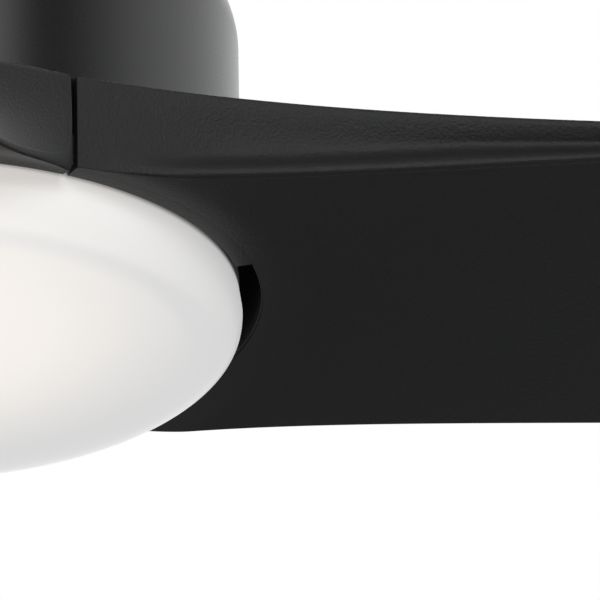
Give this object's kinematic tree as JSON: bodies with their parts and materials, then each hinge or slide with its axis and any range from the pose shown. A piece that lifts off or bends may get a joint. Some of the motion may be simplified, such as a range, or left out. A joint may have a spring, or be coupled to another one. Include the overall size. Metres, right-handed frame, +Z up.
{
  "type": "ceiling fan with light",
  "caption": "Three-blade ceiling fan: moulded blades form a ring round an opal light bowl, below a drum motor housing on a downrod and ball hanger.",
  "frame": {"origin": "on the ceiling plane, at the centre of the hanger bracket's plate", "axes": "+Z up, along the fan's axis; +X along the first blade; the bracket's two screw holes lie on X"},
  "size_m": [1.0856, 1.2333, 0.384],
  "materials": {
    "black_paint": "matte",
    "black_moulding": "fine grained matte",
    "opal_glass": "satin opal",
    "zinc_steel": "zinc plated",
    "bearing_steel": "ground",
    "cast_alloy": "as cast",
    "stack_steel": "laminated",
    "winding_copper": "varnished copper wire",
    "white_paint": "satin",
    "white_plastic": "satin",
    "orange_plastic": "semi gloss",
    "wire_jacket": "satin",
    "green_screw": "satin",
    "black_rubber": "matte",
    "lamp_dies": "phosphor"
  },
  "bodies": {
    "ceiling_mount": {"hanger_bracket": "zinc_steel", "canopy": "black_paint", "canopy_trim_ring": "black_moulding", "canopy_screws": "black_paint", "receiver_module": "white_plastic", "wire_connectors": "orange_plastic", "ground_screw": "green_screw"},
    "seat": {"ball_seat": "black_rubber"},
    "hung_frame": {"hanger_ball": "cast_alloy", "ball_cross_pin": "zinc_steel", "ball_set_screw": "zinc_steel", "downrod": "black_paint", "lead_wires": "wire_jacket", "motor_coupling": "stack_steel", "coupling_pin": "zinc_steel", "coupling_clip": "zinc_steel", "coupling_set_screws": "zinc_steel", "coupling_cover": "black_paint", "housing_shell": "black_paint", "housing_plate": "zinc_steel", "housing_screws": "black_paint", "plate_screws": "zinc_steel", "motor_shaft": "bearing_steel", "stator_core": "stack_steel", "stator_windings": "winding_copper", "bearing_inner_races": "bearing_steel", "pan_collar": "zinc_steel", "light_kit_pan": "white_paint", "shaft_nut": "zinc_steel", "led_driver": "white_plastic", "heat_sink": "cast_alloy", "led_board": "white_paint", "led_emitters": "lamp_dies", "light_kit_screws": "zinc_steel", "glass_holder_ring": "zinc_steel", "holder_screws": "zinc_steel"},
    "rotor": {"bearing_outer_races": "bearing_steel", "bearing_balls": "bearing_steel", "rotor_bottom_cover": "cast_alloy", "rotor_ring": "stack_steel", "rotor_top_cover": "cast_alloy", "rotor_bolts": "zinc_steel", "blade_gasket": "black_rubber", "blade_1": "black_moulding", "blade_2": "black_moulding", "blade_3": "black_moulding", "blade_screws": "zinc_steel"},
    "bowl": {"glass_bowl": "opal_glass"}
  },
  "joints": [
    {"name": "ball_tilt_x", "type": "hinge", "parent": "ceiling_mount", "child": "seat", "pos_m": [0, 0, -0.052], "axis": [1, 0, 0], "range_deg": [-15, 15]},
    {"name": "ball_tilt_y", "type": "hinge", "parent": "seat", "child": "hung_frame", "pos_m": [0, 0, -0.052], "axis": [0, 1, 0], "range_deg": [-15, 15]},
    {"name": "rotor_spin", "type": "hinge", "parent": "hung_frame", "child": "rotor", "pos_m": [0, 0, -0.3], "axis": [0, 0, 1], "continuous": true},
    {"name": "bowl_twist", "type": "hinge", "parent": "hung_frame", "child": "bowl", "pos_m": [0, 0, -0.34], "axis": [0, 0, 1], "range_deg": [0, 36]}
  ]
}
